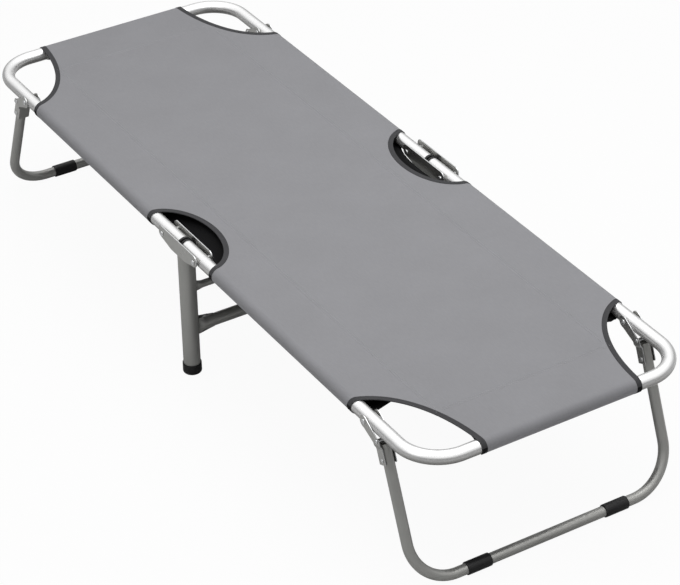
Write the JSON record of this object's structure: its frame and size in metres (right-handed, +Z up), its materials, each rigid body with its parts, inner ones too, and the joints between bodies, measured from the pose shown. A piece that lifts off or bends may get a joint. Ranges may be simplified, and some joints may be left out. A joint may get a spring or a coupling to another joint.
{
  "type": "folding camping cot",
  "caption": "Low folding camp bed: hinged tube frame under a taut cloth, a fixed middle leg with crossbars and U-shaped folding end legs.",
  "frame": {"origin": "on the floor, under the centre of the cot", "axes": "+Y along the bed towards the head end, +Z up, +X across the bed"},
  "size_m": [0.6718, 1.8838, 0.346],
  "materials": {
    "frame_tube": "bright satin",
    "leg_tube": "silver-grey powder coat on steel tube",
    "hinge_steel": "plated, semi-bright",
    "black_plastic": "matt black",
    "cloth": "plain woven polyester, mid grey"
  },
  "bodies": {
    "centre": {"centre_channel_left": "hinge_steel", "centre_channel_right": "hinge_steel", "middle_leg_left": "leg_tube", "middle_leg_right": "leg_tube", "foot_cap_left": "black_plastic", "foot_cap_right": "black_plastic", "fold_rivet_head_left": "hinge_steel", "fold_rivet_head_right": "hinge_steel", "fold_rivet_foot_left": "hinge_steel", "fold_rivet_foot_right": "hinge_steel", "upper_crossbar": "leg_tube", "lower_crossbar": "leg_tube"},
    "head_half": {"head_frame_tube": "frame_tube", "head_cloth": "cloth", "head_end_plug_left": "black_plastic", "head_end_plug_right": "black_plastic", "head_leg_pivot_left": "hinge_steel", "head_leg_pivot_right": "hinge_steel"},
    "head_leg": {"head_leg_tube": "leg_tube", "head_leg_bracket_left": "hinge_steel", "head_leg_bracket_right": "hinge_steel", "head_stop_pin_left": "hinge_steel", "head_stop_pin_right": "hinge_steel", "head_leg_rivet_left": "hinge_steel", "head_leg_rivet_right": "hinge_steel", "head_floor_sleeve_left": "black_plastic", "head_floor_sleeve_right": "black_plastic"},
    "foot_half": {"foot_frame_tube": "frame_tube", "foot_cloth": "cloth", "foot_end_plug_left": "black_plastic", "foot_end_plug_right": "black_plastic", "foot_leg_pivot_left": "hinge_steel", "foot_leg_pivot_right": "hinge_steel"},
    "foot_leg": {"foot_leg_tube": "leg_tube", "foot_leg_bracket_left": "hinge_steel", "foot_leg_bracket_right": "hinge_steel", "foot_stop_pin_left": "hinge_steel", "foot_stop_pin_right": "hinge_steel", "foot_leg_rivet_left": "hinge_steel", "foot_leg_rivet_right": "hinge_steel", "foot_floor_sleeve_left": "black_plastic", "foot_floor_sleeve_right": "black_plastic"}
  },
  "joints": [
    {"name": "head_fold", "type": "hinge", "parent": "centre", "child": "head_half", "pos_m": [0, 0.068, 0.328], "axis": [-1, 0, 0], "range_deg": [0, 90]},
    {"name": "foot_fold", "type": "hinge", "parent": "centre", "child": "foot_half", "pos_m": [0, -0.068, 0.328], "axis": [1, 0, 0], "range_deg": [0, 90]},
    {"name": "head_leg_fold", "type": "hinge", "parent": "head_half", "child": "head_leg", "pos_m": [0, 0.738, 0.328], "axis": [-1, 0, 0], "range_deg": [0, 112]},
    {"name": "foot_leg_fold", "type": "hinge", "parent": "foot_half", "child": "foot_leg", "pos_m": [0, -0.738, 0.328], "axis": [1, 0, 0], "range_deg": [0, 112]}
  ],
  "couplings": [
    {"joint": "head_leg_fold", "follows": "head_fold", "ratio": 1.2433},
    {"joint": "foot_leg_fold", "follows": "foot_fold", "ratio": 1.2433}
  ]
}
